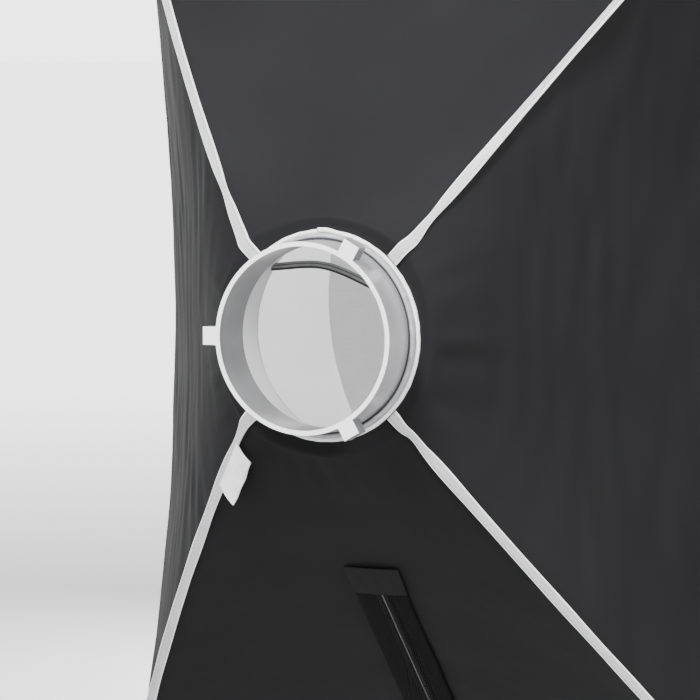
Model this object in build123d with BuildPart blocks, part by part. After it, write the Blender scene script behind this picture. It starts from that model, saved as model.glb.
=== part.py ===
"""Rectangular photographic softbox with a turning bayonet speed ring and folding ribs.

Millimetres, +Z up. The origin is on the optical axis, in the plane of the fabric collar at the back.
Light leaves along +Y, and the bayonet tube points to -Y. +X is to the right, seen from behind.
Each corner of the softbox is a quadrant, given by the signs of its X and Z.
"""
from build123d import *
from math import sqrt
import os

os.makedirs("parts", exist_ok=True)

# ---- Driving dimensions -------------------------------------------------------------------------
# Bayonet tube
tube_radius = 49.0
tube_bore_radius = 46.6
tube_rear = -26.3
tube_front = -0.7
lug_angles = (180.0, 60.0, -60.0)
lug_width = 9.3
lug_height = 7.2
lug_depth = 8.0
lug_root = 0.5
flange_radius = 50.2
flange_thickness = 2.1

# Hub, a cup that turns on the tube and carries the ribs
running_gap = 0.05
side_gap = 0.25
hub_lip_rear = -4.2
hub_lip_chamfer = 0.6
hub_neck_radius = 51.7
hub_face = 0.5
hub_shoulder = 1.2
hub_radius = 60.5
hub_wall = 3.2
hub_front = 16.0
recess_depth = 2.0
ring_thickness = 2.6
screw_circle = 54.0
screw_radius = 1.5
screw_head_radius = 2.4
screw_head_height = 1.4
thread_depth = 1.0

# Fabric
cloth = 1.2
ridge_radius = 63.4
ridge_depth = 1.5
binding_circle = 53.0
binding_roll = 1.1
lining_front = 36.0
lining_thickness = 0.6
seam_width = 6.5
seam_thickness = 1.6
seam_gap = 0.9
lip_depth = 30.0

# Seam of the upper right quadrant, a parabola through three points
seam_start = Vector(45.0, 0.0, 45.0)
seam_middle = Vector(178.5, 129.0, 245.0)
seam_end = Vector(300.0, 318.0, 450.0)
front_depth = seam_end.Y

# Panel centre lines, run counted outwards from the hub's ridge:
# flat panels (top, bottom): depth = ridge_depth + flat_slope * run
# side panels (left, right): depth = ridge_depth + side_slope * run + side_bend * run ** 2
flat_slope = 0.925
side_slope = 1.1225
side_bend = 0.003864
section_depths = (ridge_depth, 14.0, 40.0, 85.0, 150.0, 230.0, front_depth)
middle_gap = 0.3

# Ribs
rod_radius = 2.0
rod_inset = 13.5
rod_heights = (72.0, 255.0, 441.0)
pivot_height = 54.0
knuckle_width = 6.0
knuckle_radius = 3.9
socket_length = 34.0
socket_radius = 2.7
pin_radius = 1.5
pin_gap = 0.05
ear_radius = 4.2
ear_thickness = 2.6
ear_gap = 0.3
ear_reach = 15.0
tip_radius = 2.7
tip_length = 14.0
pocket_radius = 3.3
pocket_length = 26.0
pocket_cap = 1.0
seam_heights = (48.0, 245.0, 448.0)

# Zip along the middle of the bottom panel, run counted as on the panel's centre line
patch_run = 60.0
zip_first_run = 74.0
zip_last_run = 336.0
slider_run = 326.0
slit_half_width = 3.0
coil_half_width = 2.4
coil_thickness = 1.8
tape_width = 10.0
tape_thickness = 1.0
zip_gap = 0.6
patch_width = 28.0
patch_thickness = 0.8
stop_length = 4.0
slider_size = (9.0, 11.0, 3.0)
slider_gap = 0.3
bar_radius = 0.8
bar_lift = 3.0
cheek_thickness = 1.0
eye_radius = 2.2
eye_width = 3.0
pull_length = 26.0
pull_width = 7.0
pull_thickness = 1.6

# Side tag on the lower left seam
tag_height = 68.0
tag_size = (32.0, 15.5)
tag_thickness = 0.8
tag_droop = Vector(0.80, -0.25, -0.74)

# Elastic strap inside the mouth of the hub
strap_points = ((-42.0, 33.0), (-17.0, 34.0), (16.0, 22.5), (53.0, 7.0))
strap_depth = 31.0
strap_width = 4.4
strap_thickness = 1.0

# Diffuser, a flat sheet inside the front lip
diffuser_depth = 328.0
diffuser_inset = 3.5
diffuser_thickness = 1.2
border_width = 24.0
patch_radius = 160.0
patch_cloth = 0.8

quadrants = {
    "upper_right": (1, 1),
    "upper_left": (-1, 1),
    "lower_right": (1, -1),
    "lower_left": (-1, -1),
}
forward = Vector(0, 1, 0)
pieces = {}


# ---- Geometry shared by the sub-parts -----------------------------------------------------------
def seam_point(height):
    """Point of the upper right seam at the given height."""
    a, m, b = seam_start.Z, seam_middle.Z, seam_end.Z
    start_share = (height - m) * (height - b) / ((a - m) * (a - b))
    middle_share = (height - a) * (height - b) / ((m - a) * (m - b))
    end_share = (height - a) * (height - m) / ((b - a) * (b - m))
    return seam_start * start_share + seam_middle * middle_share + seam_end * end_share


def seam_at_depth(depth):
    """Point of the upper right seam at the given depth, by halving the height interval."""
    low, high = seam_start.Z, seam_end.Z
    for _ in range(40):
        middle = (low + high) / 2
        if seam_point(middle).Y < depth:
            low = middle
        else:
            high = middle
    return seam_point(high)


def centre_reach(kind, depth):
    """Distance of a panel's centre line from the optical axis at the given depth."""
    rise = depth - ridge_depth
    if kind == "flat":
        return ridge_radius + rise / flat_slope
    root = sqrt(side_slope**2 + 4 * side_bend * rise)
    return ridge_radius + (root - side_slope) / (2 * side_bend)


def sag_out(reach, seam_along, seam_out, along):
    """Distance of a panel's cross-section from the axis, an arc square to the centre line."""
    rise = seam_out - reach
    radius = (seam_along**2 + rise**2) / (2 * rise)
    side = 1 if radius > 0 else -1
    return reach + radius - side * sqrt(radius**2 - along**2)


def in_quadrant(point, signs):
    """A point or direction of the upper right quadrant, mirrored into another quadrant."""
    return Vector(point.X * signs[0], point.Y, point.Z * signs[1])


rib_heading = Vector(seam_end.X - seam_start.X, 0, seam_end.Z - seam_start.Z).normalized()
rib_chord = (seam_end - seam_start).normalized()
inward = rib_heading.cross(forward).cross(rib_chord).normalized()


def rod_point(height):
    """Point of the upper right rod's centre line, inside the seam."""
    return seam_point(height) + inward * rod_inset


def hinge_plane(signs, offset=0.0):
    """Plane of a rib's fold at its pivot: x runs outwards, y forwards and z along the pin."""
    heading = in_quadrant(rib_heading, signs)
    pin_axis = heading.cross(forward)
    pivot = in_quadrant(rod_point(pivot_height), signs)
    return Plane(origin=pivot + pin_axis * offset, x_dir=heading, z_dir=pin_axis)


def ring(outer_radius, inner_radius, rear, front, mode=Mode.ADD):
    """Plain ring about the optical axis, made inside the current part."""
    with BuildSketch(Plane.XZ.offset(-rear)) as profile:
        Circle(outer_radius)
        if inner_radius:
            Circle(inner_radius, mode=Mode.SUBTRACT)
    extrude(profile.sketch, amount=rear - front, mode=mode)


def turned(*points):
    """Solid of revolution about the optical axis, from (radius, depth) points."""
    with BuildSketch(Plane.XY) as profile:
        with BuildLine():
            Polyline(*points, close=True)
        make_face()
    revolve(profile.sketch, axis=Axis.Y)


def screw_holes(radius, rear, front, mode=Mode.ADD):
    """Four round pegs or holes on the screw circle."""
    with BuildSketch(Plane.XZ.offset(-rear)) as circles:
        with PolarLocations(screw_circle, 4):
            Circle(radius)
    extrude(circles.sketch, amount=rear - front, mode=mode)


# ---- Bayonet ring -------------------------------------------------------------------------------
with BuildPart() as bayonet_ring:
    ring(tube_radius, tube_bore_radius, tube_rear, tube_front)
    ring(flange_radius, tube_bore_radius, tube_front - flange_thickness, tube_front)
    with BuildSketch(Plane.XZ.offset(-tube_rear)):
        for angle in lug_angles:
            with Locations(Location((0, 0, 0), (0, 0, angle))):
                with Locations((tube_radius + (lug_height - lug_root) / 2, 0)):
                    Rectangle(lug_height + lug_root, lug_width)
    extrude(amount=-lug_depth)
pieces["bayonet_ring"] = bayonet_ring

# ---- Hub ----------------------------------------------------------------------------------------
recess_radius = hub_radius - hub_wall
pocket_wall_radius = flange_radius + side_gap
pocket_rear = tube_front - flange_thickness - side_gap
ring_front = recess_depth + ring_thickness
ear_middle = (knuckle_width + ear_thickness) / 2 + ear_gap
pin_half = ear_middle + ear_thickness / 2
with BuildPart() as hub_housing:
    turned(
        (tube_radius + running_gap, hub_lip_rear),
        (hub_neck_radius - hub_lip_chamfer, hub_lip_rear),
        (hub_neck_radius, hub_lip_rear + 2 * hub_lip_chamfer),
        (hub_neck_radius, hub_face),
        (hub_radius - hub_shoulder, hub_face),
        (hub_radius, hub_face + hub_shoulder),
        (hub_radius, hub_front),
        (recess_radius, hub_front),
        (recess_radius, recess_depth),
        (pocket_wall_radius, recess_depth),
        (pocket_wall_radius, pocket_rear),
        (tube_radius + running_gap, pocket_rear),
    )
    for signs in quadrants.values():
        for side in (-1, 1):
            with BuildSketch(hinge_plane(signs, side * ear_middle - ear_thickness / 2)):
                Circle(ear_radius)
                with Locations((-ear_reach / 2, 0)):
                    Rectangle(ear_reach, 2 * ear_radius)
            extrude(amount=ear_thickness)
        with BuildSketch(hinge_plane(signs, -pin_half)):
            Circle(pin_radius)
        extrude(amount=2 * pin_half, mode=Mode.SUBTRACT)
    ring(recess_radius, 0, recess_depth, hub_front + 2 * ear_radius, mode=Mode.SUBTRACT)
    screw_holes(screw_radius, recess_depth - thread_depth, recess_depth, mode=Mode.SUBTRACT)
pieces["hub_housing"] = hub_housing

with BuildPart() as retaining_ring:
    turned(
        (tube_bore_radius + 2.0, tube_front + side_gap),
        (pocket_wall_radius - side_gap, tube_front + side_gap),
        (pocket_wall_radius - side_gap, recess_depth),
        (recess_radius - side_gap, recess_depth),
        (recess_radius - side_gap, ring_front),
        (tube_radius + 0.8, ring_front),
    )
    screw_holes(screw_radius, recess_depth, ring_front, mode=Mode.SUBTRACT)
pieces["retaining_ring"] = retaining_ring

with BuildPart() as ring_screws:
    screw_holes(screw_radius, recess_depth - thread_depth, ring_front)
    screw_holes(screw_head_radius, ring_front, ring_front + screw_head_height)
pieces["ring_screws"] = ring_screws

with BuildPart() as hinge_pins:
    for signs in quadrants.values():
        with BuildSketch(hinge_plane(signs, -pin_half)):
            Circle(pin_radius)
        extrude(amount=2 * pin_half)
pieces["hinge_pins"] = hinge_pins

# ---- Fabric on the hub --------------------------------------------------------------------------
cover_rear = hub_face - cloth
with BuildPart() as throat_cover:
    turned(
        (binding_circle + 1.4, cover_rear),
        (hub_radius - hub_shoulder + 0.4, cover_rear),
        (hub_radius + cloth, hub_face + hub_shoulder - 0.4),
        (hub_radius + cloth, hub_face + 2 * hub_shoulder),
        (hub_radius + 0.2, hub_face + 2 * hub_shoulder),
        (hub_radius + 0.2, hub_face + hub_shoulder - 0.1),
        (hub_radius - hub_shoulder, hub_face - 0.2),
        (binding_circle + 1.4, hub_face - 0.2),
    )
pieces["throat_cover"] = throat_cover

with BuildPart() as throat_facing:
    turned(
        (tube_radius + 0.6, hub_lip_rear - 0.6),
        (hub_neck_radius - 0.3, hub_lip_rear - 0.6),
        (hub_neck_radius + 0.6, hub_lip_rear + 1.1),
        (hub_neck_radius + 0.6, hub_lip_rear + 2.4),
        (hub_neck_radius + 0.1, hub_lip_rear + 2.4),
        (hub_neck_radius + 0.1, hub_lip_rear + 1.2),
        (hub_neck_radius - 0.55, hub_lip_rear - 0.1),
        (tube_radius + 0.6, hub_lip_rear - 0.1),
    )
pieces["throat_facing"] = throat_facing

with BuildPart() as throat_binding:
    with BuildSketch(Plane.XY):
        with Locations((binding_circle, cover_rear - 0.1)):
            Circle(binding_roll)
    revolve(axis=Axis.Y)
pieces["throat_binding"] = throat_binding

with BuildPart() as throat_lining:
    lining_radius = recess_radius - side_gap
    lining_rear = ring_front + screw_head_height + side_gap
    ring(lining_radius, lining_radius - lining_thickness, lining_rear, lining_front)
pieces["throat_lining"] = throat_lining

with BuildPart() as inner_strap:
    with BuildSketch(Plane.XZ.offset(-strap_depth)) as strap_outline:
        with BuildLine() as strap_line:
            Polyline(*strap_points)
            offset(amount=strap_width / 2, side=Side.BOTH)
        make_face()
    extrude(amount=-strap_thickness)
pieces["inner_strap"] = inner_strap


# ---- Ribs ---------------------------------------------------------------------------------------
def cylinder_along(start, direction, radius, length, mode=Mode.ADD):
    """Round bar from a point along a direction, made inside the current part."""
    with BuildSketch(Plane(origin=start, z_dir=direction)) as end_face:
        Circle(radius)
    extrude(end_face.sketch, amount=length, mode=mode)


rod_start_heading = (rod_point(rod_heights[0]) - rod_point(pivot_height)).normalized()
rod_end = rod_point(rod_heights[2])
rod_end_heading = (rod_end - rod_point(rod_heights[2] - 8.0)).normalized()
for corner, signs in quadrants.items():
    start_heading = in_quadrant(rod_start_heading, signs)
    end_heading = in_quadrant(rod_end_heading, signs)
    pivot = in_quadrant(rod_point(pivot_height), signs)
    end = in_quadrant(rod_end, signs)

    with BuildPart() as rib_root:
        with BuildSketch(hinge_plane(signs, -knuckle_width / 2)):
            Circle(knuckle_radius)
        extrude(amount=knuckle_width)
        cylinder_along(pivot, start_heading, socket_radius, socket_length)
        with BuildSketch(hinge_plane(signs, -knuckle_width)):
            Circle(pin_radius + pin_gap)
        extrude(amount=2 * knuckle_width, mode=Mode.SUBTRACT)
    pieces["rib_root_" + corner] = rib_root

    with BuildPart() as rib_rod:
        with BuildLine():
            rod_path = ThreePointArc(*(in_quadrant(rod_point(height), signs) for height in rod_heights))
        with BuildSketch(Plane(origin=rod_path @ 0, z_dir=rod_path % 0)):
            Circle(rod_radius)
        sweep()
    pieces["rib_rod_" + corner] = rib_rod

    with BuildPart() as rib_tip:
        tip_base = end - end_heading * (tip_length - tip_radius)
        cylinder_along(tip_base, end_heading, tip_radius, tip_length)
        fillet(rib_tip.edges().filter_by(GeomType.CIRCLE).sort_by(Axis.Y)[-1], tip_radius * 0.9)
    pieces["rib_tip_" + corner] = rib_tip

    with BuildPart() as corner_pocket:
        pocket_start = end - end_heading * (pocket_length - tip_radius - pocket_cap - side_gap)
        cylinder_along(pocket_start, end_heading, pocket_radius, pocket_length)
        inside = pocket_length - pocket_cap
        cylinder_along(pocket_start, end_heading, tip_radius + side_gap, inside, mode=Mode.SUBTRACT)
    pieces["corner_pocket_" + corner] = corner_pocket

    with BuildPart() as seam_binding:
        lift = in_quadrant(inward * -(seam_gap + seam_thickness / 2), signs)
        with BuildLine():
            seam_path = ThreePointArc(
                *(in_quadrant(seam_point(height), signs) + lift for height in seam_heights)
            )
        with BuildSketch(Plane(origin=seam_path @ 0, x_dir=lift, z_dir=seam_path % 0)):
            Rectangle(seam_thickness, seam_width)
        sweep()
    pieces["seam_binding_" + corner] = seam_binding


# ---- Half panels --------------------------------------------------------------------------------
def panel_section(kind, signs, depth, margin):
    """Cross-section of a half panel at one depth, from its centre line to the seam."""
    seam = seam_at_depth(depth)
    reach = centre_reach(kind, depth)
    along_seam, out_seam = (seam.X, seam.Z) if kind == "flat" else (seam.Z, seam.X)

    def place(along, out):
        x, z = (along, out) if kind == "flat" else (out, along)
        return (x * signs[0], z * signs[1])

    halfway = (margin + along_seam) / 2
    out_margin = sag_out(reach, along_seam, out_seam, margin)
    out_halfway = sag_out(reach, along_seam, out_seam, halfway)
    corner_point = place(along_seam, out_seam)
    inner_corner = place(along_seam - cloth, out_seam - cloth)
    edge_point = place(margin, out_margin)
    inner_edge = place(margin, out_margin - cloth)
    with BuildSketch(Plane.XZ.offset(-depth)) as section:
        with BuildLine():
            ThreePointArc(edge_point, place(halfway, out_halfway), corner_point)
            Line(corner_point, inner_corner)
            ThreePointArc(inner_corner, place(halfway, out_halfway - cloth), inner_edge)
            Line(inner_edge, edge_point)
        make_face()
    return section.sketch


half_panels = {
    "panel_top_right": ("flat", (1, 1)),
    "panel_top_left": ("flat", (-1, 1)),
    "panel_bottom_right": ("flat", (1, -1)),
    "panel_bottom_left": ("flat", (-1, -1)),
    "panel_right_upper": ("side", (1, 1)),
    "panel_right_lower": ("side", (1, -1)),
    "panel_left_upper": ("side", (-1, 1)),
    "panel_left_lower": ("side", (-1, -1)),
}
for name, (kind, signs) in half_panels.items():
    margin = slit_half_width if name.startswith("panel_bottom") else middle_gap
    with BuildPart() as half_panel:
        sections = [panel_section(kind, signs, depth, margin) for depth in section_depths]
        add(loft(sections, ruled=True, mode=Mode.PRIVATE))
        front_face = sections[-1].faces()[0]
        extrude(front_face, amount=lip_depth, dir=(0, 1, 0))
    pieces[name] = half_panel

# ---- Side tag -----------------------------------------------------------------------------------
tag_signs = quadrants["lower_left"]
tag_along = in_quadrant(seam_point(tag_height + 1.0) - seam_point(tag_height), tag_signs)
tag_root = in_quadrant(seam_point(tag_height) - inward * (seam_thickness + 2 * seam_gap), tag_signs)
tag_normal = tag_along.cross(tag_droop)
with BuildPart() as side_tag:
    with BuildSketch(Plane(origin=tag_root, x_dir=tag_along, z_dir=tag_normal)):
        with Locations((0, tag_size[1] / 2)):
            Rectangle(*tag_size)
    extrude(amount=tag_thickness)
pieces["side_tag"] = side_tag

# ---- Zip ----------------------------------------------------------------------------------------
zip_outward = Vector(0, -1, -flat_slope).normalized()
run_length = sqrt(1 + flat_slope**2)


def zip_plane(run, lift):
    """Plane on the bottom panel's centre line: y runs forwards along the zip, z outwards."""
    origin = Vector(0, ridge_depth + flat_slope * run, -ridge_radius - run) + zip_outward * lift
    return Plane(origin=origin, x_dir=(-1, 0, 0), z_dir=zip_outward)


zip_length = (zip_last_run - zip_first_run) * run_length
for name, side in (("zip_tape_left", 1), ("zip_tape_right", -1)):
    with BuildPart() as zip_tape:
        with BuildSketch(zip_plane(zip_first_run, zip_gap)):
            with Locations((side * (coil_half_width + tape_width / 2), zip_length / 2)):
                Rectangle(tape_width, zip_length)
        extrude(amount=tape_thickness)
    pieces[name] = zip_tape

with BuildPart() as zip_coil:
    with BuildSketch(zip_plane(zip_first_run, zip_gap)):
        with Locations((0, zip_length / 2)):
            Rectangle(2 * coil_half_width, zip_length)
    extrude(amount=coil_thickness)
pieces["zip_coil"] = zip_coil

patch_length = (zip_first_run - patch_run) * run_length
with BuildPart() as zip_end_patch:
    with BuildSketch(zip_plane(patch_run, zip_gap)):
        with Locations((0, patch_length / 2)):
            Rectangle(patch_width, patch_length)
    extrude(amount=patch_thickness)
pieces["zip_end_patch"] = zip_end_patch

with BuildPart() as zip_front_stop:
    with BuildSketch(zip_plane(zip_last_run, zip_gap)):
        with Locations((0, stop_length / 2)):
            RectangleRounded(2 * coil_half_width, stop_length, 1.0)
    extrude(amount=coil_thickness)
pieces["zip_front_stop"] = zip_front_stop

slider_lift = zip_gap + coil_thickness + slider_gap
slider_top = slider_lift + slider_size[2]
bar_plane = zip_plane(slider_run, slider_top + bar_lift)
bar_half = eye_width / 2 + cheek_thickness + ear_gap
with BuildPart() as zip_slider:
    with BuildSketch(zip_plane(slider_run, slider_lift)):
        RectangleRounded(slider_size[0], slider_size[1], 3.0)
    extrude(amount=slider_size[2])
    chamfer(zip_slider.faces().sort_by(SortBy.DISTANCE)[-1].edges(), 0.5)
    for side in (-1, 1):
        with BuildSketch(zip_plane(slider_run, slider_top - 1.0)):
            with Locations((side * (bar_half - cheek_thickness / 2), 0)):
                Rectangle(cheek_thickness, 4.0)
        extrude(amount=1.0 + bar_lift + 2 * bar_radius)
    with BuildSketch(Plane(origin=bar_plane.origin - Vector(bar_half, 0, 0), z_dir=(1, 0, 0))):
        Circle(bar_radius)
    extrude(amount=2 * bar_half)
pieces["zip_slider"] = zip_slider

with BuildPart() as zip_pull:
    with BuildSketch(Plane(origin=bar_plane.origin, x_dir=(1, 0, 0), z_dir=(0, -1, 0))):
        with Locations((0, -pull_length / 2 - eye_radius - 1.0)):
            RectangleRounded(pull_width, pull_length, 2.5)
        with Locations((0, -eye_radius - 1.0)):
            Rectangle(eye_width, 2 * eye_radius + 2.0)
        with Locations((0, -pull_length)):
            SlotOverall(4.0, 2.2, mode=Mode.SUBTRACT)
    extrude(amount=pull_thickness / 2, both=True)
    with BuildSketch(Plane(origin=bar_plane.origin - Vector(eye_width / 2, 0, 0), z_dir=(1, 0, 0))):
        Circle(eye_radius)
    extrude(amount=eye_width)
    with BuildSketch(Plane(origin=bar_plane.origin - Vector(eye_width, 0, 0), z_dir=(1, 0, 0))):
        Circle(bar_radius + pin_gap)
    extrude(amount=2 * eye_width, mode=Mode.SUBTRACT)
pieces["zip_pull"] = zip_pull

# ---- Diffuser -----------------------------------------------------------------------------------
half_width = seam_end.X - cloth - diffuser_inset
half_height = seam_end.Z - cloth - diffuser_inset
middle_width = centre_reach("side", front_depth) - cloth - diffuser_inset
middle_height = centre_reach("flat", front_depth) - cloth - diffuser_inset


def diffuser_face(depth, inset):
    """Diffuser's face at a depth: four edges that bow in between the corners."""
    wide, tall = half_width - inset, half_height - inset
    mid_wide, mid_tall = middle_width - inset, middle_height - inset
    with BuildSketch(Plane.XZ.offset(-depth)) as face:
        with BuildLine():
            ThreePointArc((-wide, tall), (0, mid_tall), (wide, tall))
            ThreePointArc((wide, tall), (mid_wide, 0), (wide, -tall))
            ThreePointArc((wide, -tall), (0, -mid_tall), (-wide, -tall))
            ThreePointArc((-wide, -tall), (-mid_wide, 0), (-wide, tall))
        make_face()
    return face.sketch


with BuildPart() as diffuser_cloth:
    extrude(diffuser_face(diffuser_depth, 0), amount=-diffuser_thickness)
pieces["diffuser_cloth"] = diffuser_cloth

with BuildPart() as diffuser_border:
    border_depth = diffuser_depth + diffuser_thickness
    extrude(diffuser_face(border_depth, 0), amount=-diffuser_thickness)
    extrude(diffuser_face(border_depth, border_width), amount=-diffuser_thickness, mode=Mode.SUBTRACT)
pieces["diffuser_border"] = diffuser_border

with BuildPart() as diffuser_patch:
    ring(patch_radius, 0, diffuser_depth - patch_cloth, diffuser_depth)
pieces["diffuser_patch"] = diffuser_patch

# ---- Files --------------------------------------------------------------------------------------
for name, piece in pieces.items():
    piece.part.label = name
    export_step(piece.part, "parts/" + name + ".step")
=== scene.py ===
"""A collapsible softbox: the cloth, tapes, zip and finishes laid over its CAD pieces."""

from math import cos, pi, radians, sin

import bmesh
import bpy
import numpy as np
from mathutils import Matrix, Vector


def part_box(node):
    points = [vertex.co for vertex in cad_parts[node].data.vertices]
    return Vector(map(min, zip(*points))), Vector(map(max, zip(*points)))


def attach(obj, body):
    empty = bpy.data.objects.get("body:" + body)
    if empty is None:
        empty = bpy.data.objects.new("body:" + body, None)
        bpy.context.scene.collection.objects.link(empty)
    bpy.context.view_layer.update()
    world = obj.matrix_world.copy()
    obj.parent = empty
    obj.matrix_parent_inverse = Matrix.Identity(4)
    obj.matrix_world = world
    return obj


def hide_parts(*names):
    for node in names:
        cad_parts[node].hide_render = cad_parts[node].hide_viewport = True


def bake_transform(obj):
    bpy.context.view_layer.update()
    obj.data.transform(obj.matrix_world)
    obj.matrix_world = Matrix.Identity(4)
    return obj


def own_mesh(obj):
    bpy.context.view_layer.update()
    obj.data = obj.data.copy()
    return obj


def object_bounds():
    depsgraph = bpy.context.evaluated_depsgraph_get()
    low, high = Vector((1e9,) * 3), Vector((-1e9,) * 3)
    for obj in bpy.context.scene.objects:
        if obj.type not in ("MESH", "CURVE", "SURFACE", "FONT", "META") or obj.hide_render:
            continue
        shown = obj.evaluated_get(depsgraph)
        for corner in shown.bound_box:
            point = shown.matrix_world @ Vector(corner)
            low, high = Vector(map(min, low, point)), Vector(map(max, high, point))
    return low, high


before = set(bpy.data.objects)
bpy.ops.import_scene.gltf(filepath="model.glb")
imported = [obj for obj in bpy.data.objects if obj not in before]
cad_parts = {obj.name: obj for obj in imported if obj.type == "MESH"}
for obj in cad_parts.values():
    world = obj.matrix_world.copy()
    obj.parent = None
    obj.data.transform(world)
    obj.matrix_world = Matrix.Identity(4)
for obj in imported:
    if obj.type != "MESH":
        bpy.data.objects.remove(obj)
cad_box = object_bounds()

# Driving sizes, in metres. The optical axis is +Y, up is +Z.
SEAM_START = (0.045, 0, 0.045)
SEAM_MIDDLE = (0.1785, 0.129, 0.245)
SEAM_END = (0.3, 0.318, 0.45)
RIDGE_RADIUS = 0.0634
RIDGE_DEPTH = 0.0015
COLLAR_RADIUS = 0.0538
COLLAR_ROWS = 11
SECTION_FRONT = 0.318
LIP_FRONT = 0.348
FLAT_SLOPE = 0.925
SIDE_SLOPE = 1.1225
SIDE_BOW = 3.864
CLOTH = 0.0008
HINGE_BAND = 0.014
BAND_COUNT = 18
ROW_PITCH = 0.0028
COLUMNS = 54
SIDE_SLACK = 0.0042
SLACK_DEPTH = 0.190
SLIT_HALF = 0.003
SLIT_DEPTH = 0.062

CORNERS = {
    "upper_right": (1, 1),
    "upper_left": (-1, 1),
    "lower_right": (1, -1),
    "lower_left": (-1, -1),
}
# Panel: cut, axis along it, axis outwards, corner at the far and near end of the first axis
PANELS = {
    "top": ("flat", (1, 0, 0), (0, 0, 1), ("right", "upper_right"), ("left", "upper_left")),
    "bottom": ("flat", (1, 0, 0), (0, 0, -1), ("right", "lower_right"), ("left", "lower_left")),
    "right": ("side", (0, 0, 1), (1, 0, 0), ("upper", "upper_right"), ("lower", "lower_right")),
    "left": ("side", (0, 0, 1), (-1, 0, 0), ("upper", "upper_left"), ("lower", "lower_left")),
}


# ------------------------------------------------------------------ the curved surfaces


def seam_point(height):
    """Points of the upper right seam, a parabola through its two ends and its middle."""
    start, middle, end = np.array([SEAM_START, SEAM_MIDDLE, SEAM_END])
    h = np.asarray(height, float)[..., None]
    a, m, b = start[2], middle[2], end[2]
    return (
        start * (h - m) * (h - b) / ((a - m) * (a - b))
        + middle * (h - a) * (h - b) / ((m - a) * (m - b))
        + end * (h - a) * (h - m) / ((b - a) * (b - m))
    )


SEAM_TABLE = seam_point(np.linspace(SEAM_START[2], SEAM_END[2], 1200))

band_heights = np.geomspace(
    np.interp(HINGE_BAND, SEAM_TABLE[:, 1], SEAM_TABLE[:, 2]), SEAM_TABLE[-1, 2], BAND_COUNT + 1
)
BAND_DEPTHS = (RIDGE_DEPTH, *seam_point(band_heights)[:, 1], LIP_FRONT)


def seam_at_depth(depth):
    """X and Z of the upper right seam at each depth."""
    return tuple(np.interp(depth, SEAM_TABLE[:, 1], SEAM_TABLE[:, k]) for k in (0, 2))


def centre_reach(cut, depth):
    """How far a panel's centre line is from the axis at each depth."""
    run = np.asarray(depth) - RIDGE_DEPTH
    if cut == "flat":
        return RIDGE_RADIUS + run / FLAT_SLOPE
    return RIDGE_RADIUS + (np.sqrt(SIDE_SLOPE**2 + 4 * SIDE_BOW * run) - SIDE_SLOPE) / (2 * SIDE_BOW)


def arc_rise(half, rise, along):
    """Height above the middle of a circular arc that rises by rise over half."""
    bend = 2 * rise / (half**2 + rise**2)
    return bend * along**2 / (1 + np.sqrt(np.maximum(0, 1 - (bend * along) ** 2)))


def smoothstep(value, low, high):
    share = np.clip((value - low) / (high - low), 0, 1)
    return share * share * (3 - 2 * share)


def folds(across, along, pitch, slant, height, seed, waves=6):
    """Soft folds about pitch apart, that wander as they run along the cloth."""
    rng = np.random.default_rng(seed)
    total = np.zeros(np.broadcast(across, along).shape)
    for _ in range(waves):
        length = pitch * rng.uniform(0.55, 1.7)
        turn = slant * rng.uniform(-1, 1)
        phase = rng.uniform(0, 2 * pi)
        wander = rng.uniform(5, 11) * pitch
        drift = 1.6 * np.sin(2 * pi * along / wander + 2 * phase)
        swell = 0.6 + 0.4 * np.sin(2 * pi * along / (1.7 * wander) + 3 * phase)
        total += swell * np.sin(2 * pi * (across + turn * along) / length + phase + drift)
    return height * total / waves


def creases(across, along, count, spread, height, width, seed):
    """Thin raised creases scattered over spread = (across low, high, along low, high)."""
    rng = np.random.default_rng(seed)
    total = np.zeros(np.broadcast(across, along).shape)
    for _ in range(count):
        place, middle = rng.uniform(*spread[:2]), rng.uniform(*spread[2:])
        reach, bend = rng.uniform(0.03, 0.10), rng.uniform(-0.05, 0.05)
        line = place + bend * (along - middle) + 0.002 * np.sin((along - middle) / 0.03 + place * 90)
        fade = np.exp(-(((along - middle) / reach) ** 2))
        total += rng.uniform(0.4, 1.0) * fade * np.exp(-(((across - line) / width) ** 2))
    return height * total


def unit(vectors):
    return vectors / np.maximum(np.linalg.norm(vectors, axis=-1, keepdims=True), 1e-12)


def grid_normals(grid, towards):
    """Unit normals of a grid of points, on the side that towards points to."""
    normals = unit(np.cross(np.gradient(grid, axis=0), np.gradient(grid, axis=1)))
    return normals if (normals * towards).sum() > 0 else -normals


# ------------------------------------------------------------------ meshes


def new_object(name, points, faces, uvs=None, normals=None, slots=None):
    """A mesh object in the part's frame, with UVs in metres and smooth shading."""
    mesh = bpy.data.meshes.new(name)
    mesh.from_pydata(np.asarray(points, float).tolist(), [], faces)
    mesh.polygons.foreach_set("use_smooth", [True] * len(mesh.polygons))
    if uvs is not None:
        corners = np.empty(len(mesh.loops), np.int32)
        mesh.loops.foreach_get("vertex_index", corners)
        layer = mesh.uv_layers.new(name="UVMap")
        layer.data.foreach_set("uv", np.asarray(uvs, np.float32)[corners].ravel())
    if slots is not None:
        mesh.polygons.foreach_set("material_index", slots)
    if normals is not None:
        mesh.normals_split_custom_set_from_vertices(np.asarray(normals, float).tolist())
    mesh.update()
    made = bpy.data.objects.new(name, mesh)
    bpy.context.scene.collection.objects.link(made)
    return made


def grid_faces(rows, columns, wrap_rows=False, wrap_columns=False):
    """Quads of a grid of points numbered row by row."""
    faces = []
    for i in range(rows if wrap_rows else rows - 1):
        for j in range(columns if wrap_columns else columns - 1):
            a, b = i * columns, ((i + 1) % rows) * columns
            k = (j + 1) % columns
            faces.append((a + j, b + j, b + k, a + k))
    return faces


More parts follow.
